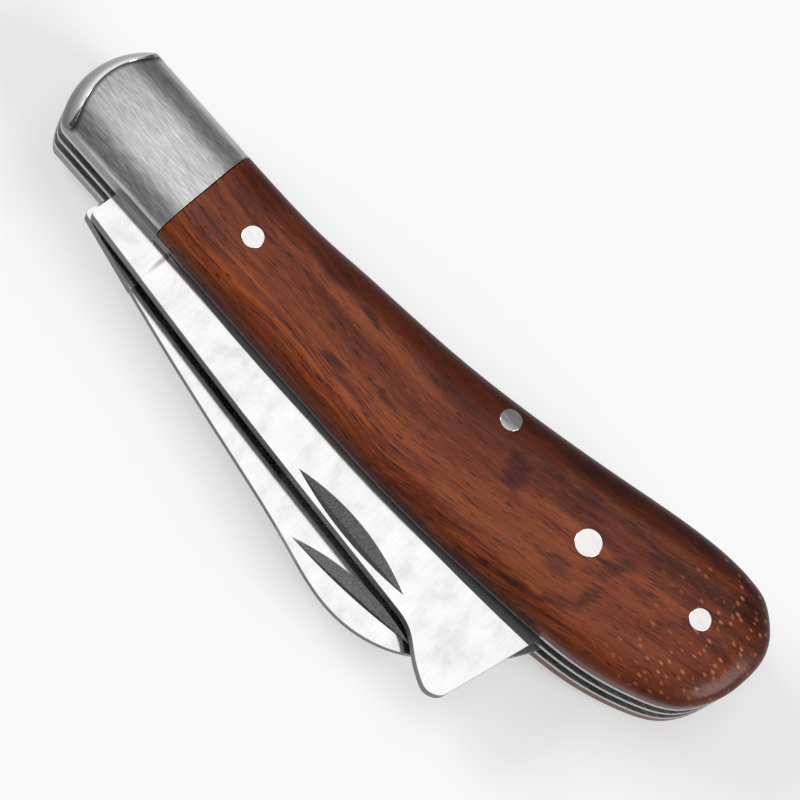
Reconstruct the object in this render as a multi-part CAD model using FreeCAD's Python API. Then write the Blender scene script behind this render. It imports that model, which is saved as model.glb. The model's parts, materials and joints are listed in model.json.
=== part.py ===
import FreeCAD, Part
import math
import os
from FreeCAD import Vector

# A closed two-blade folding whittling knife: a bark-lifter blade over a sheepfoot blade, each in
# its own slot between three liners, each held by its own backspring, with steel bolsters at the
# pivot end and rosewood scales pinned behind them.
#
# Working frame, in millimetres: X runs from the pivot to the butt, Y from the slot side to the
# back, Z from the bottom scale to the top scale. Zero is the pivot axis at mid thickness. The
# finished pieces are moved together so that zero is the middle of the underside of their box.

# Handle outline
HANDLE_LENGTH = 102.7      # front of the bolster to the butt
BOLSTER_LENGTH = 19.4      # front of the bolster to the wood
FRONT_WIDTH = 14.2         # slot side to back, along the bolster
BUTT_RISE = 11.6           # how far the back rises between the bolster and the butt
PIVOT_INSET = 7.25         # pivot axis behind the front of the bolster
SLOT_SIDE = 5.5            # pivot axis to the slot side of the handle
FRONT_RADIUS = 10.4        # sweep of the bolster's front
BACK_CORNER_RADIUS = 3.0
SLOT_CORNER_RADIUS = 1.8

# Slot side, then butt: share of the grip's length, share of the butt's depth above the slot side
BELLY = [
    (0.367, 0.0), (0.535, 0.019), (0.703, 0.078), (0.8475, 0.159), (0.923, 0.256),
    (0.969, 0.360), (0.995, 0.523), (1.0, 0.678),
]
BUTT = [(1.0, 0.678), (0.982, 0.876), (0.947, 0.969), (0.8956, 1.0)]
# Back: share of the grip's length, share of the rise
BACK = [
    (0.8956, 1.0), (0.832, 0.957), (0.683, 0.698), (0.532, 0.431), (0.391, 0.241),
    (0.223, 0.095), (0.0, 0.0),
]

# Layers
LINER_THICKNESS = 0.8
BLADE_THICKNESS = 2.1
BLADE_SIDE_GAP = 0.05      # blade to liner, each side
COVER_THICKNESS = 4.0      # scale and bolster
ROLL_WIDTH = 5.0           # width of the cover's rolled edge
ROLL_DROP = 2.5            # how far the rolled edge falls
LAND_SKIM = 0.003          # ground off the cover so that its land is truly flat
FRONT_BEVEL_WIDTH = 1.9
FRONT_BEVEL_DROP = 3.7
FRONT_BEVEL_BULGE = 0.35   # how far the polished bevel stands out from flat
SCALE_GAP = 0.12           # wood to bolster

# Pins
PIVOT_RADIUS = 1.5
PIVOT_CLEARANCE = 0.05     # radial, in the blades
PIN_RADIUS = 1.375
RIVET_RADIUS = 1.7
FRONT_PIN_SETBACK = 7.7    # front scale pin behind the bolster
FRONT_PIN_HEIGHT = 1.9     # above the pivot axis
SPRING_PIN_ALONG = 0.516   # share of the grip's length
SPRING_PIN_DEPTH = 2.75    # below the back edge
RIVET_ALONG = 0.713
RIVET_UP = 0.51            # share of the butt's depth
BUTT_PIN_SETBACK = 8.8     # in front of the butt
BUTT_PIN_UP = 0.663

# Backsprings
SPRING_THICKNESS = 3.5     # across the thin middle
SPRING_WALL = 1.45         # steel left outside a pin
RIVET_ROOM = 2.6           # centre rivet to spring
SPRING_GAP = 0.03          # spring to tang
SPRING_OVERLAP = 1.0       # spring's flat, past the tang's kick

# Tangs, which both blades share
TANG_HALF_HEIGHT = 4.2     # pivot axis to each flat
TANG_CORNER_RADIUS = 0.9
SHOULDER_DISTANCE = 5.85   # pivot axis to the shoulder that meets the spring's end
SHOULDER_CORNER_RADIUS = 0.6
KICK_X = 7.4               # end of the flat that rests on the spring when closed
KICK_RUN = 1.2             # length of the slope behind the kick
KICK_DROP = 0.45           # share of the flat's height that is left after it
EDGE_START = Vector(11.75, -1.1, 0)
PLUNGE_X = 14.65           # where the ground faces start
EDGE_THICKNESS = 0.25
BEVEL_STATIONS = 12        # places along the edge where the bevel's width is set
OPEN_CLEARANCE = 0.03      # shoulder to spring end

# Bark lifter: a nearly straight spine that flares into a broad squared end
BARK_TIP_MARGIN = 18.95    # tip to butt
BARK_TIP_Y = -0.6
BARK_HEIGHT = 16.95        # pivot axis to the top of the flare
BARK_SHOULDER_HEIGHT = 9.2 # pivot axis to the spine, at the shoulder
BARK_OPEN_ANGLE = 176.0
BARK_GRIND = 0.08          # step down to the ground face, each side
# Shares of the ground edge's length, and the bevel's width there
BARK_BEVEL = [(0.0, 4.5), (0.18, 5.35), (0.45, 5.3), (0.72, 4.85), (1.0, 3.7)]
# Shares of the length from pivot to tip, and of the height
BARK_SPINE = [(0.25, 0.609), (0.48, 0.687), (0.68, 0.74), (0.823, 0.778)]
BARK_FLARE = [
    (0.823, 0.778), (0.855, 0.811), (0.893, 0.919), (0.919, 0.979), (0.939, 1.0),
    (0.955, 0.967), (0.964, 0.873),
]
BARK_NICK = dict(along=0.687, height=0.664, turn=-2.1, length=18.9, depth=0.75, wall=0.95, floor=1.5)

# Sheepfoot: a spine that runs out to a rounded nose and falls to the tip
SHEEPFOOT_TIP_MARGIN = 17.85
SHEEPFOOT_TIP_Y = -1.0
SHEEPFOOT_HEIGHT = 18.3
SHEEPFOOT_SHOULDER_HEIGHT = 8.8
SHEEPFOOT_OPEN_ANGLE = 170.0
SHEEPFOOT_GRIND = 0.4
SHEEPFOOT_BEVEL = [(0.0, 4.6), (1.0, 4.6)]
SHEEPFOOT_SPINE = [
    (0.132, 0.546), (0.292, 0.678), (0.459, 0.798), (0.624, 0.923), (0.696, 0.986), (0.741, 1.0),
    (0.7925, 0.97), (0.85, 0.866), (0.9175, 0.612), (0.9755, 0.3),
]
SHEEPFOOT_NICK = dict(along=0.741, height=0.82, turn=6.3, length=18.3, depth=0.5, wall=0.5, floor=1.5)

# Worked out from the sizes above
FRONT_X = -PIVOT_INSET
JOINT_X = FRONT_X + BOLSTER_LENGTH
BUTT_X = FRONT_X + HANDLE_LENGTH
GRIP_LENGTH = HANDLE_LENGTH - BOLSTER_LENGTH
BUTT_DEPTH = FRONT_WIDTH + BUTT_RISE
BACK_Y = FRONT_WIDTH - SLOT_SIDE
SLOT_WIDTH = BLADE_THICKNESS + 2 * BLADE_SIDE_GAP
SLOT_FLOOR = LINER_THICKNESS / 2
SLOT_TOP = SLOT_FLOOR + SLOT_WIDTH
COVER_BASE = SLOT_TOP + LINER_THICKNESS
COVER_TOP = COVER_BASE + COVER_THICKNESS
SLOT_MIDDLE = (SLOT_FLOOR + SLOT_TOP) / 2
RUN_OUT = 5.0              # how far a cutting shape passes what it cuts
NICK_REACH = 3.0           # how far the nick's cutter is drawn out, in nick sizes
UP = Vector(0, 0, 1)


def grip_point(along, up):
    """Point of the slot side or butt, from its shares of the grip's length and the butt's depth."""
    return Vector(JOINT_X + along * GRIP_LENGTH, up * BUTT_DEPTH - SLOT_SIDE, 0)


def back_point(along, rise):
    """Point of the back, from its shares of the grip's length and of the rise."""
    return Vector(JOINT_X + along * GRIP_LENGTH, BACK_Y + rise * BUTT_RISE, 0)


def spline(points, start=None, end=None):
    """Smooth edge through the points, leaving and arriving along the given directions."""
    curve = Part.BSplineCurve()
    if start is None:
        curve.interpolate(points)
    else:
        curve.interpolate(Points=points, InitialTangent=start, FinalTangent=end)
    return curve.toShape()


def path(points):
    """Straight edges through the points."""
    return [Part.makeLine(a, b) for a, b in zip(points, points[1:])]


def prism(edges, low, high):
    """Solid between two heights whose section is the closed run of edges."""
    face = Part.Face(Part.Wire(edges))
    face.translate(Vector(0, 0, low))
    return face.extrude(Vector(0, 0, high - low))


def round_upright(solid, x, y, radius):
    """Round the upright edge that stands at x, y."""
    def stands_there(edge):
        return all(math.hypot(v.X - x, v.Y - y) < 1e-4 for v in edge.Vertexes)
    return solid.makeFillet(radius, [e for e in solid.Edges if stands_there(e)])


def back_curve():
    """Back of the grip, from the top of the butt to the joint."""
    return spline([back_point(*p) for p in BACK], Vector(-1, 0, 0), Vector(-1, 0, 0))


def grip_curves():
    """Slot side, butt and back of the grip, from the straight belly to the joint."""
    belly = spline([grip_point(*p) for p in BELLY], Vector(1, 0, 0), Vector(0, 1, 0))
    butt = spline([grip_point(*p) for p in BUTT], Vector(0, 1, 0), Vector(-1, 0, 0))
    return [belly, butt, back_curve()]


def back_height(x):
    """Height of the back edge at x."""
    ruler = Part.makeLine(Vector(x, grip_point(0, 0.5).y, 0), Vector(x, BACK_Y + BUTT_DEPTH, 0))
    return back_curve().distToShape(ruler)[1][0][0].y


def front_centre():
    """Centre of the bolster's front sweep."""
    return Vector(FRONT_X + FRONT_RADIUS, BACK_Y - FRONT_WIDTH / 2, 0)


def handle(low, high):
    """Whole handle outline between two heights, with its rounded front corners."""
    centre = front_centre()
    corner_x = centre.x - math.sqrt(FRONT_RADIUS**2 - (FRONT_WIDTH / 2) ** 2)
    slot_corner = Vector(corner_x, -SLOT_SIDE, 0)
    back_corner = Vector(corner_x, BACK_Y, 0)
    front = Part.Arc(back_corner, Vector(FRONT_X, centre.y, 0), slot_corner).toShape()
    edges = [front, Part.makeLine(slot_corner, grip_point(*BELLY[0]))] + grip_curves()
    edges.append(Part.makeLine(back_point(*BACK[-1]), back_corner))
    solid = prism(edges, low, high)
    solid = round_upright(solid, corner_x, -SLOT_SIDE, SLOT_CORNER_RADIUS)
    return round_upright(solid, corner_x, BACK_Y, BACK_CORNER_RADIUS)


def cover():
    """Scale and bolster as one rolled cover over the top liner, run straight out past the front.

    The roll is an ellipse: a round fillet on a cover stretched upright, then pressed back down
    and skimmed flat.
    """
    stretch = ROLL_WIDTH / ROLL_DROP
    start = FRONT_X - RUN_OUT
    slot_end = Vector(start, -SLOT_SIDE, 0)
    back_end = Vector(start, BACK_Y, 0)
    edges = [Part.makeLine(slot_end, grip_point(*BELLY[0]))] + grip_curves()
    edges += path([back_point(*BACK[-1]), back_end, slot_end])
    top = (COVER_THICKNESS + LAND_SKIM) * stretch
    solid = prism(edges, 0, top)

    def is_rolled(edge):
        box = edge.BoundBox
        return box.ZMin > top - 1e-6 and box.XMax > start + 1e-6
    solid = solid.makeFillet(ROLL_WIDTH, [e for e in solid.Edges if is_rolled(e)])
    press = FreeCAD.Matrix()
    press.scale(1, 1, 1 / stretch)
    solid = solid.transformGeometry(press)
    solid.translate(Vector(0, 0, COVER_BASE))
    return solid.common(slab(start - RUN_OUT, BUTT_X + RUN_OUT, COVER_TOP))


def slab(x_low, x_high, top=HANDLE_LENGTH):
    """Block across the whole handle between two stations along it, up to a height."""
    side = HANDLE_LENGTH
    return Part.makeBox(x_high - x_low, 2 * side, top + side, Vector(x_low, -side, -side))


def pin(centre, radius, low, high):
    """Upright round pin."""
    return Part.makeCylinder(radius, high - low, Vector(centre.x, centre.y, low), UP)


def front_pin_centre():
    """Short pin behind each bolster."""
    return Vector(JOINT_X + FRONT_PIN_SETBACK, FRONT_PIN_HEIGHT, 0)


def spring_pin_centre():
    """Pin through both springs, near the back edge."""
    x = JOINT_X + SPRING_PIN_ALONG * GRIP_LENGTH
    return Vector(x, back_height(x) - SPRING_PIN_DEPTH, 0)


def rivet_centre():
    """Large rivet in the middle of the grip."""
    return grip_point(RIVET_ALONG, RIVET_UP)


def butt_pin_centre():
    """Pin that holds the springs' rear ends."""
    return Vector(BUTT_X - BUTT_PIN_SETBACK, grip_point(0, BUTT_PIN_UP).y, 0)


def through_pins():
    """Centre and radius of each pin that goes right through the knife."""
    return [
        (Vector(0, 0, 0), PIVOT_RADIUS),
        (spring_pin_centre(), PIN_RADIUS),
        (rivet_centre(), RIVET_RADIUS),
        (butt_pin_centre(), PIN_RADIUS),
    ]


def drill(solid, holes, low, high):
    """Cut upright holes, each a centre and a radius."""
    for centre, radius in holes:
        solid = solid.cut(pin(centre, radius, low, high))
    return solid


def flipped(solid):
    """The same piece on the other side of the centre liner."""
    return solid.mirror(Vector(0, 0, 0), UP)


def scale():
    """Top rosewood scale."""
    wood = cover().common(slab(JOINT_X + SCALE_GAP, BUTT_X + RUN_OUT))
    holes = through_pins() + [(front_pin_centre(), PIN_RADIUS)]
    return drill(wood, holes, COVER_BASE - RUN_OUT, COVER_TOP + RUN_OUT)


def bevel_cutter():
    """Ring sector that polishes the bolster's front edge to a slightly bulged bevel."""
    centre = front_centre()
    low = Vector(centre.x - FRONT_RADIUS, centre.y, COVER_TOP - FRONT_BEVEL_DROP)
    high = Vector(low.x + FRONT_BEVEL_WIDTH, centre.y, COVER_TOP)
    along = (high - low).normalize()
    outward = Vector(-along.z, 0, along.x)
    bulge = (low + high) * 0.5 + outward * FRONT_BEVEL_BULGE
    above = Vector(high.x, centre.y, COVER_TOP + RUN_OUT)
    outside = Vector(low.x - RUN_OUT, centre.y, COVER_TOP + RUN_OUT)
    beside = Vector(low.x - RUN_OUT, centre.y, low.z)
    edges = [Part.Arc(low, bulge, high).toShape()] + path([high, above, outside, beside, low])
    section = Part.Face(Part.Wire(edges))
    section.rotate(centre, UP, -90)
    return section.revolve(centre, UP, 180)


def bolster():
    """Top bolster, with the sweep and rounded corners of the handle's front."""
    steel = cover().common(slab(FRONT_X - RUN_OUT, JOINT_X))
    steel = steel.common(handle(COVER_BASE, COVER_TOP))
    steel = steel.cut(bevel_cutter())
    return drill(steel, [(Vector(0, 0, 0), PIVOT_RADIUS)], COVER_BASE - RUN_OUT, COVER_TOP + RUN_OUT)


def outer_liner():
    """Liner under the top cover."""
    holes = through_pins() + [(front_pin_centre(), PIN_RADIUS)]
    return drill(handle(SLOT_TOP, COVER_BASE), holes, SLOT_FLOOR, COVER_TOP)


def centre_liner():
    """Liner between the two slots."""
    return drill(handle(-SLOT_FLOOR, SLOT_FLOOR), through_pins(), -SLOT_TOP, SLOT_TOP)


def spring():
    """Top backspring: flush with the back, thin in the middle, pinned there and at the butt."""
    tang_face = TANG_HALF_HEIGHT + SPRING_GAP
    thin = back_point(*BACK[-2])
    spring_pin = spring_pin_centre()
    rivet = rivet_centre()
    butt_pin = butt_pin_centre()
    pin_room = PIN_RADIUS + SPRING_WALL
    outside = HANDLE_LENGTH + RUN_OUT
    end = Vector(-SHOULDER_DISTANCE + OPEN_CLEARANCE, tang_face, 0)
    flat_end = Vector(KICK_X + SPRING_OVERLAP, tang_face, 0)
    rear = Vector(outside, butt_pin.y - pin_room, 0)
    inner = [
        flat_end,
        thin - Vector(0, SPRING_THICKNESS, 0),
        spring_pin - Vector(0, pin_room, 0),
        rivet + Vector(0, RIVET_RADIUS + RIVET_ROOM, 0),
        butt_pin - Vector(pin_room, pin_room, 0),
    ]
    rim = path([inner[-1], rear, Vector(outside, outside, 0), Vector(end.x, outside, 0), end, flat_end])
    region = prism([spline(inner, Vector(1, 0, 0), Vector(1, 0, 0))] + rim, SLOT_FLOOR, SLOT_TOP)
    steel = handle(SLOT_FLOOR, SLOT_TOP).common(region)
    return drill(steel, through_pins()[1:], 0, COVER_BASE)


def flush_pin(centre, radius):
    """Pin through the whole knife, its ends ground to the covers' surfaces."""
    head = pin(centre, radius, COVER_BASE, COVER_TOP + RUN_OUT).common(cover())
    middle = pin(centre, radius, -COVER_BASE, COVER_BASE)
    return middle.fuse([head, flipped(head)]).removeSplitter()


def front_pin():
    """Short pin that holds the front of the top scale to its liner."""
    centre = front_pin_centre()
    head = pin(centre, PIN_RADIUS, COVER_BASE, COVER_TOP + RUN_OUT).common(cover())
    return head.fuse(pin(centre, PIN_RADIUS, SLOT_TOP, COVER_BASE)).removeSplitter()


def meeting(angle_a, distance_a, angle_b, distance_b):
    """Where two lines meet, each given by its normal's angle and its distance from the pivot."""
    a, b = math.radians(angle_a), math.radians(angle_b)
    turn = math.sin(b - a)
    x = (distance_a * math.sin(b) - distance_b * math.sin(a)) / turn
    y = (distance_b * math.cos(a) - distance_a * math.cos(b)) / turn
    return Vector(x, y, 0)


def shoulder_point(height, open_angle):
    """Point of the shoulder at a height above the pivot axis, on the spine's side."""
    return meeting(180 + open_angle, SHOULDER_DISTANCE, 270, height)


def blade_point(tip_x, height, share):
    """Point of a spine, from its shares of the length and height."""
    return Vector(share[0] * tip_x, -share[1] * height, 0)


def nick_cutter(nick, tip_x, height, face):
    """Grinding wheel that leaves a nail nick: a steep wall by the spine and a sloping floor."""
    radius = nick["length"] ** 2 / (8 * nick["depth"])
    edges = path([
        Vector(0, 0, -radius),
        Vector(0, nick["floor"] * NICK_REACH, nick["depth"] * NICK_REACH - radius),
        Vector(0, nick["floor"] * NICK_REACH, 0),
        Vector(0, -nick["wall"] * NICK_REACH, 0),
        Vector(0, -nick["wall"] * NICK_REACH, nick["depth"] * NICK_REACH - radius),
        Vector(0, 0, -radius),
    ])
    wheel = Part.Face(Part.Wire(edges)).revolve(Vector(0, 0, 0), Vector(0, 1, 0), 360)
    wheel.rotate(Vector(0, 0, 0), UP, nick["turn"])
    centre = blade_point(tip_x, height, (nick["along"], nick["height"]))
    wheel.translate(Vector(centre.x, centre.y, face + radius - nick["depth"]))
    return wheel


def ground_face(tip, grind, bevel):
    """What is ground off one face: a thin step behind the plunge, then the bevel to the edge."""
    half = BLADE_THICKNESS / 2
    along = (tip - EDGE_START).normalize()
    outward = Vector(-along.y, along.x, 0)
    start = EDGE_START + along * ((PLUNGE_X - EDGE_START.x) / along.x)
    length = (tip - start).Length
    above = Vector(0, 0, half + RUN_OUT)
    widths = spline([Vector(share * length, width, 0) for share, width in bevel])
    stations = widths.discretize(BEVEL_STATIONS)
    stations.append(stations[-1] + Vector(RUN_OUT, 0, 0))
    sections = []
    for station in stations:
        edge = start + along * station.x
        outline = [
            edge - outward * HANDLE_LENGTH + Vector(0, 0, half - grind),
            edge - outward * station.y + Vector(0, 0, half - grind),
            edge + Vector(0, 0, EDGE_THICKNESS / 2),
            edge + outward * RUN_OUT + Vector(0, 0, EDGE_THICKNESS / 2),
            edge + outward * RUN_OUT + above,
            edge - outward * HANDLE_LENGTH + above,
        ]
        sections.append(Part.Wire(path(outline + outline[:1])))
    return Part.makeLoft(sections, True, True)


def tang_and_edge(tip, open_angle):
    """Corners of a blade's outline from its tip, along the edge and round the tang."""
    flat = TANG_HALF_HEIGHT
    return [
        tip,
        EDGE_START,
        Vector(KICK_X + KICK_RUN, flat * KICK_DROP, 0),
        Vector(KICK_X, flat, 0),
        meeting(90, flat, 180, flat),
        meeting(180, flat, 90 + open_angle, flat),
        meeting(90 + open_angle, flat, 180 + open_angle, SHOULDER_DISTANCE),
    ]


def finish_blade(solid, corners, heel, tip, grind, bevel, nick_wheel):
    """Round the tang, grind both faces, cut the nick and drill the pivot hole."""
    for corner in corners[4:6]:
        solid = round_upright(solid, corner.x, corner.y, TANG_CORNER_RADIUS)
    solid = round_upright(solid, heel.x, heel.y, SHOULDER_CORNER_RADIUS)
    ground = ground_face(tip, grind, bevel)
    solid = solid.cut(ground).cut(flipped(ground)).cut(nick_wheel)
    return drill(solid, [(Vector(0, 0, 0), PIVOT_RADIUS + PIVOT_CLEARANCE)], -RUN_OUT, RUN_OUT)


def bark_lifter_blade():
    """Upper blade, at mid thickness zero."""
    half = BLADE_THICKNESS / 2
    tip = Vector(BUTT_X - BARK_TIP_MARGIN, BARK_TIP_Y, 0)
    corners = tang_and_edge(tip, BARK_OPEN_ANGLE)
    heel = shoulder_point(BARK_SHOULDER_HEIGHT, BARK_OPEN_ANGLE)
    spine = [heel] + [blade_point(tip.x, BARK_HEIGHT, p) for p in BARK_SPINE]
    flare = [blade_point(tip.x, BARK_HEIGHT, p) for p in BARK_FLARE]
    edges = path(corners + [heel]) + [
        spline(spine),
        spline(flare, spine[-1] - spine[-2], tip - flare[-1]),
        Part.makeLine(flare[-1], tip),
    ]
    wheel = nick_cutter(BARK_NICK, tip.x, BARK_HEIGHT, half - BARK_GRIND)
    blank = prism(edges, -half, half)
    return finish_blade(blank, corners, heel, tip, BARK_GRIND, BARK_BEVEL, wheel)


def sheepfoot_blade():
    """Lower blade, at mid thickness zero."""
    half = BLADE_THICKNESS / 2
    tip = Vector(BUTT_X - SHEEPFOOT_TIP_MARGIN, SHEEPFOOT_TIP_Y, 0)
    corners = tang_and_edge(tip, SHEEPFOOT_OPEN_ANGLE)
    heel = shoulder_point(SHEEPFOOT_SHOULDER_HEIGHT, SHEEPFOOT_OPEN_ANGLE)
    spine = [heel] + [blade_point(tip.x, SHEEPFOOT_HEIGHT, p) for p in SHEEPFOOT_SPINE] + [tip]
    edges = path(corners + [heel]) + [spline(spine)]
    wheel = nick_cutter(SHEEPFOOT_NICK, tip.x, SHEEPFOOT_HEIGHT, half - SHEEPFOOT_GRIND)
    blank = prism(edges, -half, half)
    return finish_blade(blank, corners, heel, tip, SHEEPFOOT_GRIND, SHEEPFOOT_BEVEL, wheel)


def in_slot(blade, z):
    """Blade moved to the middle of its slot."""
    placed = blade.copy()
    placed.translate(Vector(0, 0, z))
    return placed


def assembly():
    """Every piece of the knife, closed, by name."""
    _, *held = through_pins()
    parts = {
        "top_scale": scale(),
        "top_bolster": bolster(),
        "top_liner": outer_liner(),
        "centre_liner": centre_liner(),
        "top_spring": spring(),
        "top_front_pin": front_pin(),
        "pivot_pin": flush_pin(Vector(0, 0, 0), PIVOT_RADIUS),
        "bark_lifter_blade": in_slot(bark_lifter_blade(), SLOT_MIDDLE),
        "sheepfoot_blade": in_slot(sheepfoot_blade(), -SLOT_MIDDLE),
    }
    for name, (centre, radius) in zip(("spring_pin", "centre_rivet", "butt_pin"), held):
        parts[name] = flush_pin(centre, radius)
    for piece in ("scale", "bolster", "liner", "spring", "front_pin"):
        parts["bottom_" + piece] = flipped(parts["top_" + piece])
    return parts


def save(parts):
    """Set the assembly on its origin and write one file for each piece."""
    os.makedirs("parts", exist_ok=True)
    box = FreeCAD.BoundBox()
    for shape in parts.values():
        box.add(shape.optimalBoundingBox(False))
    offset = Vector(-box.Center.x, -box.Center.y, -box.ZMin)
    for name, shape in parts.items():
        shape.translate(offset)
        shape.exportStep(f"parts/{name}.step")
        print(name, len(shape.Solids), "solid", shape.isValid(), round(shape.Volume, 2), "mm3")
    print("size", box.XLength, box.YLength, box.ZLength, "pivot at", offset)


save(assembly())
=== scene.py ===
"""Looks of a closed two-blade folding whittling knife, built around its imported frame.

The frame gives every steel and rosewood piece at its real place. The pieces that a hand has
softened are taken to the bench here, where their corners are broken as a finisher would break
them, and every piece gets the finish of its real material. Nothing is moved or resized, so the
knife still fits together and folds.
"""
import json
import logging
import math
from dataclasses import dataclass, field
from enum import Enum
from typing import Any

import bpy
from mathutils import Matrix, Vector

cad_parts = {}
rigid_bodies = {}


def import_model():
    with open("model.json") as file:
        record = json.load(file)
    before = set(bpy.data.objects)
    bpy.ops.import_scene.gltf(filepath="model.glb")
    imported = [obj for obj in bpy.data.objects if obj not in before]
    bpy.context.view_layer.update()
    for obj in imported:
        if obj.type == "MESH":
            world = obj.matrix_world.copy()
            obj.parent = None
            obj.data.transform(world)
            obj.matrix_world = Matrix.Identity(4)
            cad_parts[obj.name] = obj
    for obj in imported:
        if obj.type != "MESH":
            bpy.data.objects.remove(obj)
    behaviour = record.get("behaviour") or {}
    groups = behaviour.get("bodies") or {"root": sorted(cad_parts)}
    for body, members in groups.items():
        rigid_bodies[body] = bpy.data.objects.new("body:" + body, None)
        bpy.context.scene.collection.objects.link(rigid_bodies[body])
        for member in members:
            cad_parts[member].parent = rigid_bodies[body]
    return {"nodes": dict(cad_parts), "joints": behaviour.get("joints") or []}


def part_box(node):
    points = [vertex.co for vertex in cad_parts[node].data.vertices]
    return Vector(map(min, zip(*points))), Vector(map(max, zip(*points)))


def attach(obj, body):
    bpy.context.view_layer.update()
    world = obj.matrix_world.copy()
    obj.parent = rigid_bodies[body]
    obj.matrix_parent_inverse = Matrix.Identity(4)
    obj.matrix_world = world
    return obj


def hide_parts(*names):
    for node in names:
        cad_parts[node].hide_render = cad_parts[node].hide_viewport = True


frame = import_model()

LOG = logging.getLogger("whittling_knife")
MM = 0.001                      # one millimetre in the scene's metres
FLAT_ANGLE = 0.1                # faces that differ by less, in degrees, are one flat face
CORNER_ANGLE = 35.0             # edges sharper than this, in degrees, are corners
MERGE_WIDTH = 0.001             # corners of a copy that lie closer, in mm, are one
THROUGH = 1e4                   # reach of a mark that goes right through a piece, mm

Triple = tuple[float, float, float]


def linear(hex_colour: str) -> tuple[float, float, float, float]:
    """Turn an sRGB hex colour into the linear colour that shaders take.

    Args:
        hex_colour: Six hex digits, such as "7A4636".

    Returns:
        Linear red, green, blue and an alpha of one.
    """
    channels = [int(hex_colour[i:i + 2], 16) / 255 for i in (0, 2, 4)]
    values = [c / 12.92 if c <= 0.04045 else ((c + 0.055) / 1.055) ** 2.4 for c in channels]
    return (values[0], values[1], values[2], 1.0)


def add_node(tree: bpy.types.NodeTree, kind: str, inputs: dict[Any, Any] | None = None,
             stops: list[tuple[float, str]] | None = None, **settings: Any) -> bpy.types.Node:
    """Add one node with its settings, its ramp stops and its inputs.

    Args:
        tree: Node tree that gets the node.
        kind: Type name of the node, without "ShaderNode".
        inputs: Socket name or number to a value, or to the node or socket that feeds it.
        stops: For a colour ramp, each stop's position and hex colour: its two ends, then any
            between them.
        **settings: Properties of the node.

    Returns:
        The new node. Where it feeds another, its first output that is in use is taken.
    """
    made = tree.nodes.new("ShaderNode" + kind)
    for name, value in settings.items():
        setattr(made, name, value)
    for key, value in (inputs or {}).items():
        if isinstance(value, bpy.types.Node):
            value = next(socket for socket in value.outputs if socket.enabled)
        if isinstance(value, bpy.types.NodeSocket):
            tree.links.new(value, made.inputs[key])
        else:
            made.inputs[key].default_value = value
    for index, (position, shade) in enumerate(stops or []):
        elements = made.color_ramp.elements
        element = elements[index] if index < 2 else elements.new(position)
        element.position = position
        element.color = linear(shade)
    return made


@dataclass
class Bench:
    """What a finish works with: a material's nodes, and where on the piece it is."""

    tree: bpy.types.NodeTree
    shader: bpy.types.Node
    place: bpy.types.Node           # position, mm
    axes: bpy.types.Node            # the same, split into X, Y and Z
    upright: bpy.types.Node         # 1 where the surface lies flat, 0 where it is a wall

    def grain(self, size: Triple, place: bpy.types.Node | None = None, detail: float = 3.0,
              roughness: float = 0.55) -> bpy.types.Node:
        """Draw blotches that have a real size along each axis.

        Args:
            size: Length of one blotch along X, Y and Z, in millimetres.
            place: Position to draw on, in millimetres; the piece's own if not given.
            detail: How many finer layers the blotches have.
            roughness: How strong the finer layers are.

        Returns:
            The noise, about a half on average.
        """
        squeezed = add_node(self.tree, "Mapping",
                            {0: place or self.place, 3: tuple(1 / length for length in size)})
        return add_node(self.tree, "TexNoise",
                        {"Vector": squeezed, "Scale": 1.0, "Detail": detail,
                         "Roughness": roughness})

    def feed(self, **inputs: Any) -> None:
        """Set or link the shader's inputs, named with underscores for spaces."""
        for key, value in inputs.items():
            socket = self.shader.inputs[key.replace("_", " ")]
            if isinstance(value, bpy.types.Node):
                source = next(output for output in value.outputs if output.enabled)
                self.tree.links.new(source, socket)
            else:
                socket.default_value = value


class Finish:
    """A material made of nodes. Each kind of finish draws its own pattern into the shader."""

    name = "finish"

    def draw(self, bench: Bench) -> None:
        """Add the pattern's nodes and feed them to the shader."""
        raise NotImplementedError

    def material(self) -> bpy.types.Material:
        """Return the finish's material, made the first time it is asked for."""
        known = bpy.data.materials.get(self.name)
        if known is not None:
            return known
        made = bpy.data.materials.new(self.name)
        made.use_nodes = True
        tree = made.node_tree
        tree.nodes.clear()
        shader = add_node(tree, "BsdfPrincipled")
        add_node(tree, "OutputMaterial", {"Surface": shader})
        source = add_node(tree, "TexCoord")
        place = add_node(tree, "VectorMath",
                         {0: source.outputs["Object"], 1: (1 / MM, 1 / MM, 1 / MM)},
                         operation="MULTIPLY")
        facing = add_node(tree, "SeparateXYZ", {0: source.outputs["Normal"]})
        upright = add_node(tree, "Math", {0: facing.outputs["Z"]}, operation="ABSOLUTE")
        self.draw(Bench(tree, shader, place, add_node(tree, "SeparateXYZ", {0: place}), upright))
        return made


class Region(Enum):
    """Where on a scale a layer of its figure shows: the axis, and where it starts and is full."""

    ALL = ("X", -500.0, -499.0)
    SLOT_SIDE = ("Y", 1.5, -3.5)
    BACK_SIDE = ("Y", 4.0, 12.0)
    REAR = ("X", -2.0, 18.0)
    BUTT = ("X", 33.0, 44.0)


@dataclass(frozen=True)
class Figure:
    """One layer of the wood's figure, which shows where its blotches are strongest."""

    colour: str
    size: Triple                    # blotch along X, Y and Z, mm
    low: float                      # noise where it starts to show
    high: float                     # noise where it shows fully
    strength: float
    region: Region = Region.ALL
    detail: float = 3.0


@dataclass(frozen=True)
class Smudge:
    """One dark smoky mark that lies at a set place in the wood."""

    x: float
    y: float
    half_length: float
    half_width: float
    turn: float                     # degrees from the knife's length
    strength: float = 0.8


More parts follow.
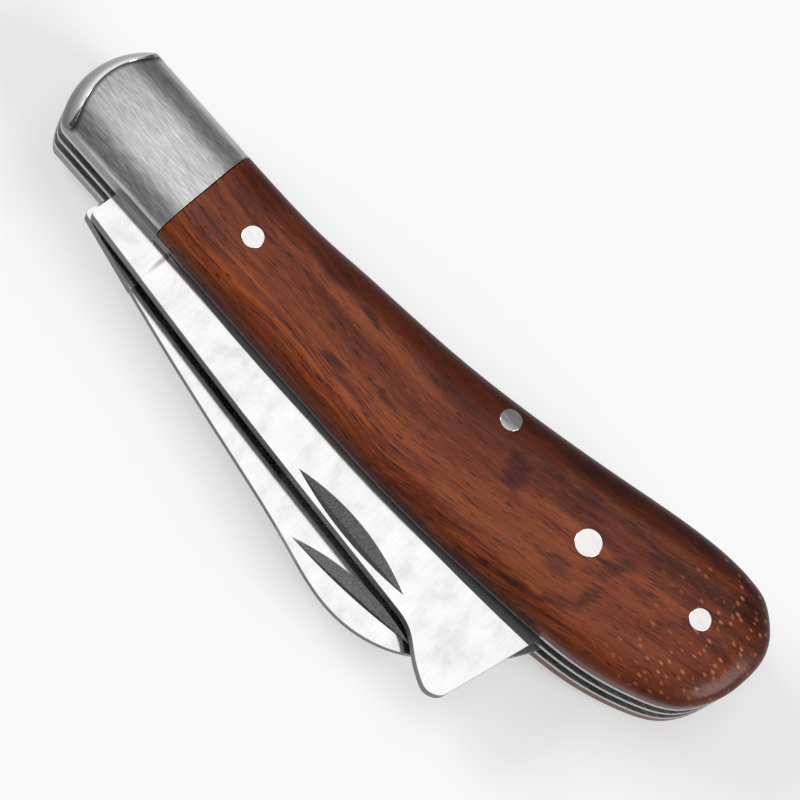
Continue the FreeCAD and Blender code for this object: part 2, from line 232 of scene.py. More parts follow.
@dataclass(frozen=True)
class Rosewood(Finish):
    """Rosewood, sawn along the grain, sanded and oiled to a satin: a deep red-brown with
    orange-brown bands on the slot side, smoky purple marks, long dark pores, and pale end-grain
    specks where the butt curves across the grain. The oil leaves a soft, low sheen."""

    name: str = "oiled_rosewood"
    bend_start: float = 8.0         # where the grain starts to follow the grip's curve, mm
    bend_slope: float = 0.27
    sway: float = 3.5               # how far the grain wanders sideways, mm
    back_shade_start: float = 4.0        # painted shade along the back side starts here, mm
    back_shade_full: float = 9.5
    back_shade_share: float = 0.62
    back_shade_tone: str = "2A0D07"
    plank_size: Triple = (40.0, 5.0, 6.0)         # broad bands, mm
    smoke_tone: str = "260F10"
    rolled_shade_tone: str = "32100A"     # painted shade where the edge rolls away from flat
    rolled_shade_share: float = 0.55
    ink_tone: str = "1E0A06"        # inside the pores
    ink_share: float = 0.8
    layers: tuple[Figure, ...] = (
        Figure("854528", (34.0, 3.0, 5.0), 0.46, 0.66, 0.60, detail=3.0),
        Figure("934719", (16.0, 1.1, 3.0), 0.46, 0.62, 0.75, Region.SLOT_SIDE, 4.0),
        Figure("43160B", (44.0, 2.4, 4.0), 0.54, 0.70, 0.60, detail=4.0),
        Figure("3A120A", (28.0, 0.34, 2.0), 0.58, 0.66, 0.45, detail=3.0),
        Figure("A8633A", (9.0, 0.24, 2.0), 0.58, 0.68, 0.42, Region.SLOT_SIDE, 2.0),
        Figure("2E0F08", (12.0, 0.40, 2.0), 0.58, 0.66, 0.60, Region.SLOT_SIDE, 3.0),
        Figure("32120F", (8.0, 2.0, 4.0), 0.58, 0.68, 0.50, Region.REAR),
        Figure("2E100B", (20.0, 2.2, 4.0), 0.44, 0.60, 0.65, Region.BACK_SIDE),
        Figure("9C5C3A", (1.6, 0.16, 0.25), 0.54, 0.70, 0.28),
    )
    smudges: tuple[Smudge, ...] = (
        Smudge(15.8, 6.0, 4.2, 1.7, -48.0), Smudge(18.5, 9.2, 3.0, 1.4, 10.0, 0.6),
        Smudge(31.6, 7.2, 3.2, 1.5, 52.0), Smudge(24.0, 10.2, 2.6, 1.0, 30.0, 0.5),
        Smudge(23.0, 13.4, 8.0, 1.5, 20.0, 0.9), Smudge(36.0, 17.6, 8.0, 1.6, 20.0, 0.9),
        Smudge(45.5, 17.0, 4.5, 2.4, -35.0, 0.8), Smudge(36.0, 12.0, 4.0, 0.9, 20.0, 0.5),
        Smudge(20.8, -4.1, 2.6, 0.6, 17.0, 0.95), Smudge(24.8, -3.0, 3.2, 0.7, 15.0, 0.9),
        Smudge(29.4, -1.1, 3.2, 1.0, 30.0, 0.85), Smudge(32.0, 1.9, 2.8, 1.1, 74.0, 0.7),
        Smudge(-7.2, -1.8, 2.4, 0.7, 12.0), Smudge(0.0, 0.0, 2.4, 0.6, -5.0, 0.7),
        Smudge(-8.5, 5.2, 5.0, 0.6, -3.0, 0.8), Smudge(-27.5, 6.2, 4.5, 1.5, 0.0, 0.7),
        Smudge(41.0, 8.0, 3.2, 0.9, 60.0, 0.5), Smudge(5.0, 6.6, 4.0, 0.7, 8.0, 0.6),
        Smudge(-28.5, -2.4, 5.0, 2.4, 0.0, 0.5), Smudge(-28.0, 4.8, 6.5, 2.4, -3.0, 0.75),
        Smudge(-15.5, 5.6, 9.0, 1.6, 2.0, 0.75), Smudge(-22.0, 4.6, 5.0, 1.2, -4.0, 0.5),
        Smudge(46.9, 4.6, 3.6, 1.0, 65.0, 0.45),
    )
    speck_spacing: Triple = (1.45, 0.80, 1.0)     # end-grain specks at the butt, mm
    speck_radius: float = 0.32      # share of the spacing
    speck_tone: str = "B0683F"
    speck_share: float = 0.74
    speck_tilt: float = -0.3        # radians
    pore_size: Triple = (2.4, 0.17, 0.30)         # pores, drawn wide enough to show, mm
    pore_depth: float = 0.03        # mm
    fibre_size: Triple = (1.8, 0.15, 0.2)
    fray_size: Triple = (5.0, 0.9, 2.0)           # ragged edge of a smoky mark, mm
    fray_reach: Triple = (5.0, 2.2, 0.0)

    def draw(self, bench: Bench) -> None:
        """Lay the wood's colour down from its broad bands to its finest pores."""
        tree, axes = bench.tree, bench.axes
        grain = self.grain_place(bench)
        tone = add_node(tree, "ValToRGB", {0: bench.grain(self.plank_size, grain, 3.0)},
                        stops=[(0.32, "4E1E10"), (0.70, "7E3E22"), (0.45, "642A17"),
                               (0.56, "6F321C")])
        for layer in self.layers:
            shown = add_node(tree, "MapRange",
                             {0: bench.grain(layer.size, grain, layer.detail), 1: layer.low,
                              2: layer.high, 4: layer.strength},
                             interpolation_type="SMOOTHSTEP")
            axis, start, full = layer.region.value
            there = add_node(tree, "MapRange", {0: axes.outputs[axis], 1: start, 2: full},
                             interpolation_type="SMOOTHSTEP")
            share = add_node(tree, "Math", {0: shown, 1: there}, operation="MULTIPLY")
            tone = add_node(tree, "Mix", {0: share, 6: tone, 7: linear(layer.colour)},
                            data_type="RGBA")
        across = add_node(tree, "SeparateXYZ", {0: grain}).outputs["Y"]
        # Painted shade: a dark strip along the back side of the scale.
        back_shade = add_node(tree, "MapRange", {0: across, 1: self.back_shade_start, 2: self.back_shade_full,
                                            4: self.back_shade_share},
                         interpolation_type="SMOOTHSTEP")
        tone = add_node(tree, "Mix", {0: back_shade, 6: tone, 7: linear(self.back_shade_tone)},
                        data_type="RGBA")
        tone = add_node(tree, "Mix", {0: self.smoke(bench, grain), 6: tone,
                                      7: linear(self.smoke_tone)}, data_type="RGBA")
        tone = add_node(tree, "Mix",
                        {0: self.specks(bench), 6: tone, 7: linear(self.speck_tone)},
                        data_type="RGBA")
        # Painted shade: the wood is darkened where its surface rolls away from flat.
        rolled_shade = add_node(tree, "MapRange",
                          {0: bench.upright, 1: 0.995, 2: 0.70, 4: self.rolled_shade_share},
                          interpolation_type="SMOOTHSTEP")
        tone = add_node(tree, "Mix", {0: rolled_shade, 6: tone, 7: linear(self.rolled_shade_tone)},
                        data_type="RGBA")
        pores = add_node(tree, "MapRange",
                         {0: bench.grain(self.pore_size, grain, 1.0), 1: 0.63, 2: 0.68},
                         interpolation_type="SMOOTHSTEP")
        inked = add_node(tree, "Math", {0: pores, 1: self.ink_share}, operation="MULTIPLY")
        tone = add_node(tree, "Mix", {0: inked, 6: tone, 7: linear(self.ink_tone)},
                        data_type="RGBA")
        fibres = bench.grain(self.fibre_size, grain, 2.0)
        rough = add_node(tree, "MapRange", {0: fibres, 1: 0.3, 2: 0.7, 3: 0.32, 4: 0.44})
        raised = add_node(tree, "Math", {0: fibres, 1: 0.3}, operation="MULTIPLY")
        height = add_node(tree, "Math", {0: raised, 1: pores}, operation="SUBTRACT")
        bump = add_node(tree, "Bump", {"Height": height, "Strength": 0.45,
                                       "Distance": self.pore_depth * MM})
        bench.feed(Base_Color=tone, Roughness=rough, Normal=bump, IOR=1.5,
                   Specular_IOR_Level=0.15, Coat_Weight=0.10, Coat_Roughness=0.14)

    def grain_place(self, bench: Bench) -> bpy.types.Node:
        """Bend and sway the position, so that the grain follows the grip and wanders."""
        tree = bench.tree
        drift = add_node(tree, "TexNoise", {"Vector": bench.place, "Scale": 0.05, "Detail": 2.0})
        centred = add_node(tree, "VectorMath", {0: drift.outputs["Color"], 1: (0.5, 0.5, 0.5)},
                           operation="SUBTRACT")
        swayed = add_node(tree, "VectorMath", {0: centred, 1: (0.0, self.sway, self.sway),
                                               2: bench.place}, operation="MULTIPLY_ADD")
        past = add_node(tree, "Math", {0: bench.axes.outputs["X"], 1: self.bend_start},
                        operation="SUBTRACT")
        along = add_node(tree, "Math", {0: past, 1: 0.0, 2: 10.0}, operation="SMOOTH_MAX")
        rise = add_node(tree, "Math", {0: along, 1: self.bend_slope}, operation="MULTIPLY")
        shift = add_node(tree, "CombineXYZ", {1: rise})
        return add_node(tree, "VectorMath", {0: swayed, 1: shift}, operation="SUBTRACT")

    def smoke(self, bench: Bench, grain: bpy.types.Node) -> bpy.types.Node:
        """Return how dark the smoky marks are, frayed along the grain."""
        tree = bench.tree
        fray = bench.grain(self.fray_size, grain, 4.0)
        frayed = add_node(tree, "VectorMath", {0: fray.outputs["Color"], 1: (0.5, 0.5, 0.5)},
                          operation="SUBTRACT")
        ragged = add_node(tree, "VectorMath", {0: frayed, 1: self.fray_reach, 2: bench.place},
                          operation="MULTIPLY_ADD")
        total = None
        for mark in self.smudges:
            near = add_node(tree, "Mapping",
                            {0: ragged, 1: (mark.x, mark.y, 0.0),
                             2: (0.0, 0.0, math.radians(mark.turn)),
                             3: (mark.half_length, mark.half_width, THROUGH)},
                            vector_type="TEXTURE")
            reach = add_node(tree, "VectorMath", {0: near}, operation="LENGTH")
            dark = add_node(tree, "MapRange", {0: reach.outputs["Value"], 1: 1.15, 2: 0.3,
                                               4: mark.strength},
                            interpolation_type="SMOOTHSTEP")
            total = dark if total is None else add_node(tree, "Math", {0: total, 1: dark},
                                                        operation="MAXIMUM")
        patchy = add_node(tree, "MapRange", {0: fray, 1: 0.30, 2: 0.60, 3: 0.5, 4: 1.0})
        return add_node(tree, "Math", {0: total, 1: patchy}, operation="MULTIPLY")

    def specks(self, bench: Bench) -> bpy.types.Node:
        """Return how much the pale end-grain specks show near the butt."""
        tree = bench.tree
        spread = add_node(tree, "Mapping",
                          {0: bench.place, 2: (0.0, 0.0, self.speck_tilt),
                           3: tuple(1 / length for length in self.speck_spacing)})
        cells = add_node(tree, "TexVoronoi", {"Vector": spread, "Randomness": 0.85,
                                              "Scale": 1.0})
        radius = self.speck_radius
        spot = add_node(tree, "MapRange", {0: cells.outputs["Distance"], 1: radius,
                                           2: radius * 0.4, 4: self.speck_share},
                        interpolation_type="SMOOTHSTEP")
        axis, start, full = Region.BUTT.value
        there = add_node(tree, "MapRange", {0: bench.axes.outputs[axis], 1: start, 2: full},
                         interpolation_type="SMOOTHSTEP")
        uneven = add_node(tree, "MapRange", {0: bench.grain((5.0, 5.0, 5.0)), 1: 0.24, 2: 0.42},
                          interpolation_type="SMOOTHSTEP")
        gone = add_node(tree, "Math", {0: there, 1: uneven}, operation="MULTIPLY")
        return add_node(tree, "Math", {0: spot, 1: gone}, operation="MULTIPLY")


@dataclass(frozen=True)
class BrushedSteel(Finish):
    """Bolster steel, rubbed lengthwise on a fine belt: short hair-thin scratches carry the light
    across it over a bumped crown. Painted shade darkens it towards the sides and the front, and
    the buffed front bevel has a painted run from highlight to shade, with a painted shadow line
    inside it."""

    name: str = "brushed_bolster_steel"
    scratch_size: Triple = (1.8, 0.12, 0.12)     # drawn coarse enough to show, mm
    sweep_x: float = 0.0            # centre of the front's round, mm
    middle_y: float = 0.0
    half_height: float = 7.4
    half_width: float = 7.1
    bevel_inner_radius: float = 8.5
    bevel_drop: float = 3.7
    bevel_width: float = 1.9
    crown: float = 0.006            # height of the crown's curve per mm squared
    scratch_depth: float = 0.010    # mm
    scratch_tones: tuple[str, str, str] = ("8E8E8E", "CCCCCC", "FAFAFA")
    haze_size: Triple = (2.4, 0.8, 0.8)
    haze_tone: str = "A6A6A6"
    # painted shade towards the sides
    side_shade_tone: str = "6E6E6E"
    side_shade_share: float = 0.22
    # painted shade towards the front
    front_shade_tone: str = "757575"
    front_shade_share: float = 0.40
    bevel_shadow_line_tone: str = "4A4A4A"     # painted shadow line along the inside of the bevel
    # painted highlight and shade down the front bevel, from its rim to its foot
    bevel_light_run_tones: tuple[str, ...] = ("EDEDED", "A0A0A0", "6A6A6A", "343434")
    wall_tone: str = "8C8C8C"       # outline, ground flush with the liners

    def draw(self, bench: Bench) -> None:
        """Scratches and a crown on the rubbed part, and a buffed bevel round its front."""
        tree = bench.tree
        from_sweep = add_node(tree, "VectorMath",
                              {0: bench.place, 1: (self.sweep_x, self.middle_y,
                                                   self.half_height)}, operation="SUBTRACT")
        split = add_node(tree, "SeparateXYZ", {0: from_sweep})
        flat = add_node(tree, "CombineXYZ", {0: split.outputs["X"], 1: split.outputs["Y"]})
        radius = add_node(tree, "VectorMath", {0: flat}, operation="LENGTH")
        level = add_node(tree, "Math", {0: split.outputs["Z"]}, operation="ABSOLUTE")
        drop = add_node(tree, "Math", {0: self.half_height, 1: level}, operation="SUBTRACT")
        inner = add_node(tree, "Math", {0: drop, 1: -self.bevel_width / self.bevel_drop,
                                        2: radius.outputs["Value"]}, operation="MULTIPLY_ADD")
        ahead = add_node(tree, "MapRange", {0: split.outputs["X"], 1: -1.0, 2: -2.5})
        past = add_node(tree, "MapRange", {0: inner, 1: self.bevel_inner_radius - 0.03,
                                           2: self.bevel_inner_radius + 0.05})
        buffed = add_node(tree, "Math", {0: past, 1: ahead}, operation="MULTIPLY")
        close = add_node(tree, "MapRange", {0: inner, 1: self.bevel_inner_radius - 0.55,
                                            2: self.bevel_inner_radius - 0.10})
        bevel_shadow_line = add_node(tree, "Math", {0: close, 1: ahead}, operation="MULTIPLY")

        scratches = bench.grain(self.scratch_size, detail=3.0, roughness=0.7)
        haze = bench.grain(self.haze_size, detail=4.0)
        dark, middle, light = self.scratch_tones
        steel = add_node(tree, "ValToRGB", {0: scratches},
                         stops=[(0.28, dark), (0.72, light), (0.50, middle)])
        hazed = add_node(tree, "MapRange", {0: haze, 1: 0.35, 2: 0.65, 4: 0.35})
        steel = add_node(tree, "Mix", {0: hazed, 6: steel, 7: linear(self.haze_tone)},
                         data_type="RGBA")
        # Painted shade towards the sides of the crown.
        side = add_node(tree, "Math", {0: split.outputs["Y"]}, operation="ABSOLUTE")
        side_shade = add_node(tree, "MapRange",
                         {0: side, 1: 0.5, 2: self.half_width, 4: self.side_shade_share},
                         interpolation_type="SMOOTHSTEP")
        steel = add_node(tree, "Mix", {0: side_shade, 6: steel, 7: linear(self.side_shade_tone)},
                         data_type="RGBA")
        # Painted shade towards the front.
        front = add_node(tree, "MapRange",
                         {0: split.outputs["X"], 1: 0.0, 2: -9.0, 4: self.front_shade_share},
                         interpolation_type="SMOOTHSTEP")
        steel = add_node(tree, "Mix", {0: front, 6: steel, 7: linear(self.front_shade_tone)},
                         data_type="RGBA")
        # Painted shadow line along the inside of the bevel.
        steel = add_node(tree, "Mix", {0: bevel_shadow_line, 6: steel, 7: linear(self.bevel_shadow_line_tone)},
                         data_type="RGBA")
        # Painted highlight and shade down the buffed bevel: bright at its rim, dark at its foot.
        rim, upper, lower, foot = self.bevel_light_run_tones
        bevel_light_run = add_node(tree, "ValToRGB",
                          {0: add_node(tree, "MapRange", {0: drop, 2: self.bevel_drop})},
                          stops=[(0.05, rim), (0.95, foot), (0.22, upper), (0.55, lower)])
        steel = add_node(tree, "Mix", {0: buffed, 6: steel, 7: bevel_light_run}, data_type="RGBA")
        wall = add_node(tree, "MapRange", {0: bench.upright, 1: 0.42, 2: 0.20})
        unbuffed = add_node(tree, "Math", {0: 1.0, 1: buffed}, operation="SUBTRACT")
        dull = add_node(tree, "Math", {0: wall, 1: unbuffed}, operation="MULTIPLY")
        steel = add_node(tree, "Mix", {0: dull, 6: steel, 7: linear(self.wall_tone)},
                         data_type="RGBA")
        brushed = add_node(tree, "MapRange", {0: scratches, 1: 0.3, 2: 0.7, 3: 0.30, 4: 0.42})
        rough = add_node(tree, "Mix", {0: buffed, 2: brushed, 3: 0.16})
        curve = add_node(tree, "Math", {0: split.outputs["Y"], 1: split.outputs["Y"]},
                         operation="MULTIPLY")
        crowned = add_node(tree, "Math", {0: curve, 1: -self.crown}, operation="MULTIPLY")
        cut = add_node(tree, "Math", {0: scratches, 1: self.scratch_depth, 2: crowned},
                       operation="MULTIPLY_ADD")
        height = add_node(tree, "Math", {0: cut, 1: unbuffed}, operation="MULTIPLY")
        bump = add_node(tree, "Bump", {"Height": height, "Strength": 1.0, "Distance": MM})
        bench.feed(Base_Color=steel, Metallic=1.0, Roughness=rough, Normal=bump)


@dataclass(frozen=True)
class BladeSteel(Finish):
    """Blade steel, glazed on a fine wheel almost to a mirror: a nearly even face with faint
    clouds that reflects its neighbours, a duller ground bevel carrying a painted reflection,
    edges, spine and plunge darkened with painted shade, and a nick left grainy by its cutter."""

    name: str = "satin_blade_steel"
    # painted dark reflection on the ground bevel
    bevel_reflection_tone: str = "6A6A6A"
    nick_centre: Triple = (0.0, 0.0, 0.0)
    nick_turn: float = 0.0          # degrees
    nick_half_length: float = 10.0
    nick_half_width: float = 1.9
    plunge_centre: Triple = (0.0, 0.0, 0.0)      # where the wheel was let in behind the tang
    plunge_reach: Triple = (0.5, 4.0, THROUGH)
    # painted shade at the plunge line
    plunge_shade_tone: str = "6A6A6A"
    plunge_shade_share: float = 0.6
    face_height: float = 0.0
    face_tones: tuple[str, str, str] = ("CDCDCD", "D9D9D9", "E0E0E0")
    line_tone: str = "B0B0B0"       # wheel lines
    line_share: float = 0.22
    wall_tone: str = "6E6E6E"       # edges and spine, darkened with painted shade
    nick_tones: tuple[str, str] = ("6C6C6C", "9C9C9C")
    face_gloss: tuple[float, float] = (0.10, 0.13)
    ground_gloss: float = 0.48
    relief: float = 0.010           # mm

    def draw(self, bench: Bench) -> None:
        """Clouds and wheel lines on the face, and a tone for each other surface."""
        tree = bench.tree
        clouds = bench.grain((2.4, 3.6, 3.0), detail=5.0)
        lines = bench.grain((0.14, 5.0, 5.0), detail=2.0)     # across the blade
        specks = bench.grain((0.20, 0.20, 0.20), detail=1.0)
        dark, middle, light = self.face_tones
        steel = add_node(tree, "ValToRGB", {0: clouds},
                         stops=[(0.32, dark), (0.66, light), (0.46, middle)])
        lined = add_node(tree, "MapRange", {0: lines, 1: 0.45, 2: 0.80, 4: self.line_share})
        steel = add_node(tree, "Mix", {0: lined, 6: steel, 7: linear(self.line_tone)},
                         data_type="RGBA")
        # The ground bevel is rougher, and its colour is a painted dark reflection.
        tilted = add_node(tree, "MapRange", {0: bench.upright, 1: 0.9985, 2: 0.9955})
        steel = add_node(tree, "Mix", {0: tilted, 6: steel, 7: linear(self.bevel_reflection_tone)},
                         data_type="RGBA")
        # Painted shade on the edges and spine.
        wall = add_node(tree, "MapRange", {0: bench.upright, 1: 0.75, 2: 0.45})
        steel = add_node(tree, "Mix", {0: wall, 6: steel, 7: linear(self.wall_tone)},
                         data_type="RGBA")

        # Painted shade at the plunge line behind the tang.
        shade = add_node(tree, "Mapping", {0: bench.place, 1: self.plunge_centre,
                                           3: self.plunge_reach}, vector_type="TEXTURE")
        off = add_node(tree, "VectorMath", {0: shade}, operation="LENGTH")
        plunge_shade = add_node(tree, "MapRange",
                          {0: off.outputs["Value"], 1: 1.0, 2: 0.3, 4: self.plunge_shade_share},
                          interpolation_type="SMOOTHSTEP")
        steel = add_node(tree, "Mix", {0: plunge_shade, 6: steel, 7: linear(self.plunge_shade_tone)},
                         data_type="RGBA")

        near = add_node(tree, "Mapping",
                        {0: bench.place, 1: self.nick_centre,
                         2: (0.0, 0.0, math.radians(self.nick_turn)),
                         3: (self.nick_half_length, self.nick_half_width, THROUGH)},
                        vector_type="TEXTURE")
        reach = add_node(tree, "VectorMath", {0: near}, operation="LENGTH")
        inside = add_node(tree, "MapRange", {0: reach.outputs["Value"], 1: 1.15, 2: 1.10})
        sunk = add_node(tree, "MapRange", {0: bench.axes.outputs["Z"],
                                           1: self.face_height - 0.005,
                                           2: self.face_height - 0.03})
        nick = add_node(tree, "Math", {0: inside, 1: sunk}, operation="MULTIPLY")
        floor = add_node(tree, "ValToRGB", {0: specks},
                         stops=[(0.3, self.nick_tones[0]), (0.7, self.nick_tones[1])])
        steel = add_node(tree, "Mix", {0: nick, 6: steel, 7: floor}, data_type="RGBA")
        glazed = add_node(tree, "MapRange", {0: clouds, 1: 0.3, 2: 0.7, 3: self.face_gloss[0],
                                             4: self.face_gloss[1]})
        ground = add_node(tree, "Math", {0: tilted, 1: nick}, operation="MAXIMUM")
        rough = add_node(tree, "Mix", {0: ground, 2: glazed, 3: self.ground_gloss})
        grit = add_node(tree, "Math", {0: specks, 1: nick}, operation="MULTIPLY")
        relief = add_node(tree, "Math", {0: lines, 1: 0.05, 2: grit}, operation="MULTIPLY_ADD")
        bump = add_node(tree, "Bump", {"Height": relief, "Strength": 0.4,
                                       "Distance": self.relief * MM})
        bench.feed(Base_Color=steel, Metallic=1.0, Roughness=rough, Normal=bump)


@dataclass(frozen=True)
class SheetSteel(Finish):
    """Rolled sheet and drawn pin stock: plain pale steel with its rolling lines, and edges that
    were ground flush with the handle."""

    name: str = "rolled_liner_steel"
    dark: str = "9A9A9A"
    light: str = "CACACA"
    gloss: float = 0.30
    line_size: Triple = (5.0, 0.14, 0.14)         # drawn wide enough to show, mm
    gloss_spread: float = 0.05
    relief: float = 0.006           # mm

    def draw(self, bench: Bench) -> None:
        """Faint lines in tone, roughness and relief."""
        tree = bench.tree
        lines = bench.grain(self.line_size)
        steel = add_node(tree, "ValToRGB", {0: lines},
                         stops=[(0.3, self.dark), (0.7, self.light)])
        rough = add_node(tree, "MapRange", {0: lines, 1: 0.3, 2: 0.7,
                                            3: self.gloss - self.gloss_spread,
                                            4: self.gloss + self.gloss_spread})
        bump = add_node(tree, "Bump", {"Height": lines, "Strength": 0.3,
                                       "Distance": self.relief * MM})
        bench.feed(Base_Color=steel, Metallic=1.0, Roughness=rough, Normal=bump)


class Body(Enum):
    """The bodies that pieces ride on."""

    HANDLE = "handle"
    BARK_LIFTER = "bark_lifter_blade"
    SHEEPFOOT = "sheepfoot_blade"


def deselect() -> None:
    """Leave edit mode and let go of everything."""
    if bpy.context.object is not None and bpy.context.object.mode != "OBJECT":
        bpy.ops.object.mode_set(mode="OBJECT")
    bpy.ops.object.select_all(action="DESELECT")


def dress(node: str, finish: Finish) -> None:
    """Give a piece of the frame its finish, where its shape is right as it is.

    Args:
        node: Name of the frame's node.
        finish: Finish of the piece.
    """
    source = frame["nodes"][node]
    for slot in source.material_slots:
        slot.material = finish.material()
    LOG.info("%s: %d faces in %s", node, len(source.data.polygons), finish.name)


def soften(node: str, break_width: float, body: Body, finish: Finish) -> None:
    """Copy a piece of the frame, break its sharp corners, and let the copy stand for it.

    Args:
        node: Name of the frame's node.
        break_width: Width of the broken corners, in millimetres.
        body: Body that the piece rides on.
        finish: Finish of the piece.
    """
    deselect()
    source = frame["nodes"][node]
    source.select_set(True)
    bpy.context.view_layer.objects.active = source
    bpy.ops.object.duplicate()
    piece = bpy.context.object
    bpy.ops.object.parent_clear(type="CLEAR")
    piece.name = f"{node}_finished"
    for key in [k for k in piece.keys() if k.startswith("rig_")]:
        del piece[key]
    bpy.ops.mesh.customdata_custom_splitnormals_clear()
    bpy.ops.object.mode_set(mode="EDIT")
    bpy.ops.mesh.select_all(action="SELECT")
    bpy.ops.mesh.remove_doubles(threshold=MERGE_WIDTH * MM)
    bpy.ops.mesh.dissolve_limited(angle_limit=math.radians(FLAT_ANGLE))
    bpy.ops.object.mode_set(mode="OBJECT")
    bpy.ops.object.shade_smooth_by_angle(angle=math.radians(CORNER_ANGLE))
    bevel = piece.modifiers.new("broken corners", "BEVEL")
    bevel.width = break_width * MM
    bevel.segments = 2
    bevel.limit_method = "ANGLE"
    bevel.angle_limit = math.radians(CORNER_ANGLE)
    bevel.harden_normals = True
    bpy.ops.object.modifier_apply(modifier=bevel.name)
    piece.data.materials.clear()
    piece.data.materials.append(finish.material())
    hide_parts(node)
    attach(piece, body.value)
    LOG.info("%s: %d faces in %s", piece.name, len(piece.data.polygons), finish.name)


@dataclass
class Scales:
    """The two rosewood scales."""

    nodes: tuple[str, ...] = ("top_scale", "bottom_scale")
    break_width: float = 0.09

    def make(self) -> None:
        """Finish both scales in the same plank."""
        wood = Rosewood()
        for node in self.nodes:
            soften(node, self.break_width, Body.HANDLE, wood)


@dataclass
class Bolsters:
    """The two bolsters and the pivot pin that is ground into them."""

    nodes: tuple[str, ...] = ("top_bolster", "bottom_bolster")
    pin: str = "pivot_pin"
    break_width: float = 0.05
    sweep_radius: float = 10.4

    def make(self) -> None:
        """Finish the bolsters and the pivot pin alike, so that the pin's ends do not show."""
        low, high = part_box(self.nodes[0])
        middle = (low + high) / 2 / MM
        steel = BrushedSteel(sweep_x=low.x / MM + self.sweep_radius, middle_y=middle.y,
                             half_height=high.z / MM / 2,
                             half_width=(high.y - low.y) / 2 / MM)
        for node in self.nodes:
            soften(node, self.break_width, Body.HANDLE, steel)
        dress(self.pin, steel)


@dataclass
class Frame:
    """Liners, backsprings and the pins that hold them."""

    liners: tuple[str, ...] = ("top_liner", "centre_liner", "bottom_liner")
    springs: tuple[str, ...] = ("top_spring", "bottom_spring")
    pins: tuple[str, ...] = ("spring_pin", "centre_rivet", "butt_pin", "top_front_pin",
                             "bottom_front_pin")
    pin_break: float = 0.08

    def make(self) -> None:
        """Finish the liners, springs and pins."""
        sheet = SheetSteel()
        spring = SheetSteel("ground_spring_steel", "7E7E7E", "A6A6A6", 0.33)
        stock = SheetSteel("polished_pin_steel", "D2CECE", "E8E4E4", 0.24, (3.0, 0.2, 0.2))
        for node in self.liners:
            dress(node, sheet)
        for node in self.springs:
            dress(node, spring)
        for node in self.pins:
            soften(node, self.pin_break, Body.HANDLE, stock)


@dataclass
class Blade:
    """One blade, with its nail nick placed from the pivot."""

    node: str
    body: Body
    nick_from_pivot: tuple[float, float]
    nick_turn: float
    grind: float
    bevel_reflection_tone: str
    plunge_from_pivot: tuple[float, float] = (14.75, -5.6)

    def make(self) -> None:
        """Finish the blade in its own steel, which knows where its nick is."""
        joint = next(j for j in frame["joints"] if j["child"] == self.body.value)
        pivot = Vector(joint["pos_m"]) / MM
        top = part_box(self.node)[1].z / MM
        steel = BladeSteel(
            name=f"satin_steel_{self.body.value}", bevel_reflection_tone=self.bevel_reflection_tone,
            nick_centre=(pivot.x + self.nick_from_pivot[0], pivot.y + self.nick_from_pivot[1],
                         0.0),
            plunge_centre=(pivot.x + self.plunge_from_pivot[0],
                           pivot.y + self.plunge_from_pivot[1], 0.0),
            nick_turn=self.nick_turn, face_height=top - self.grind)
        dress(self.node, steel)


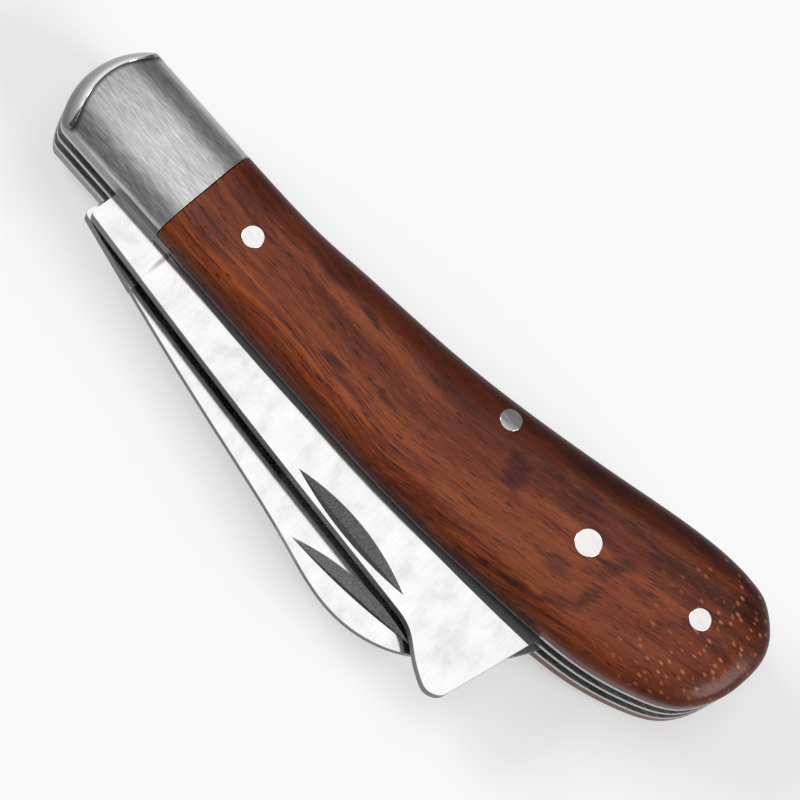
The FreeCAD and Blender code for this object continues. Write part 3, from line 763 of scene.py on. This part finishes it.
@dataclass
class Studio:
    """A pale light table under soft lights, and the camera over the slot side of the knife."""

    camera_from_aim: Vector = field(
        default_factory=lambda: Vector((15.7, -146.73, 446.2)) * MM)
    aim: Vector = field(default_factory=lambda: Vector((0.65, 3.50, 7.4)) * MM)
    camera_up: Vector = field(default_factory=lambda: Vector((-0.7474, 0.6228, 0.2311)))
    lens: float = 181.9
    table_half: float = 0.9
    table_glow: float = 0.42
    table_tone: str = "B6B6B6"
    sensor_width: float = 36.0
    near_clip: float = 0.01
    room_strength: float = 0.2

    def make(self) -> None:
        """Set up the table, the lights and the camera."""
        self.table()
        self.light("overhead softbox", Vector((-0.02, 0.14, 0.79)), 0.50, 0.70, 1.25)
        self.light("front fill", Vector((-0.90, -0.1, 0.55)), 0.6, 0.6, 9.0)
        self.light("butt fill", Vector((0.90, 0.1, 0.55)), 0.6, 0.6, 9.0)
        world = bpy.data.worlds.new("dim room")
        world.use_nodes = True
        sky = world.node_tree.nodes["Background"]
        sky.inputs["Color"].default_value = (1.0, 1.0, 1.0, 1.0)
        sky.inputs["Strength"].default_value = self.room_strength
        bpy.context.scene.world = world
        bpy.context.scene.view_settings.view_transform = "Standard"
        self.camera()

    def table(self) -> None:
        """Lay a plain pale table top, lit a little from below, under the knife."""
        deselect()
        bpy.ops.mesh.primitive_plane_add(size=2 * self.table_half)
        table = bpy.context.object
        table.name = "table"
        opal = bpy.data.materials.new("opal_glass")
        opal.use_nodes = True
        shader = opal.node_tree.nodes["Principled BSDF"]
        shader.inputs["Base Color"].default_value = linear(self.table_tone)
        shader.inputs["Roughness"].default_value = 0.9
        shader.inputs["Specular IOR Level"].default_value = 0.0
        shader.inputs["Emission Color"].default_value = (1.0, 1.0, 1.0, 1.0)
        shader.inputs["Emission Strength"].default_value = self.table_glow
        table.data.materials.append(opal)

    def light(self, name: str, place: Vector, width: float, depth: float,
              watts: float) -> None:
        """Hang one soft light that faces the knife.

        Args:
            name: Name of the light.
            place: Where it hangs, in metres.
            width: Size across, in metres.
            depth: Size the other way, in metres.
            watts: Power.
        """
        deselect()
        bpy.ops.object.light_add(type="AREA", location=place)
        lamp = bpy.context.object
        lamp.name = name
        lamp.data.shape = "RECTANGLE"
        lamp.data.size = width
        lamp.data.size_y = depth
        lamp.data.energy = watts
        lamp.rotation_euler = (-place).to_track_quat("-Z", "Y").to_euler()

    def camera(self) -> None:
        """Place the camera and make it the scene's camera."""
        deselect()
        bpy.ops.object.camera_add()
        camera = bpy.context.object
        backward = self.camera_from_aim.normalized()
        up = (self.camera_up - self.camera_up.project(backward)).normalized()
        turn = Matrix((up.cross(backward), up, backward)).transposed()
        camera.matrix_world = Matrix.LocRotScale(self.aim + self.camera_from_aim, turn, None)
        camera.data.lens = self.lens
        camera.data.sensor_width = self.sensor_width
        camera.data.clip_start = self.near_clip
        bpy.context.scene.camera = camera


def main() -> None:
    """Finish every piece of the knife, set up the studio and note the sizes."""
    logging.basicConfig(level=logging.INFO, format="%(name)s %(message)s")
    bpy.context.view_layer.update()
    Studio().make()
    Scales().make()
    Bolsters().make()
    Frame().make()
    Blade("bark_lifter_blade", Body.BARK_LIFTER, (52.5, -11.25), -2.1, 0.08, "7C7C7C").make()
    Blade("sheepfoot_blade", Body.SHEEPFOOT, (57.5, -15.0), 6.3, 0.4, "9A9A9A").make()


if __name__ == "__main__":
    main()
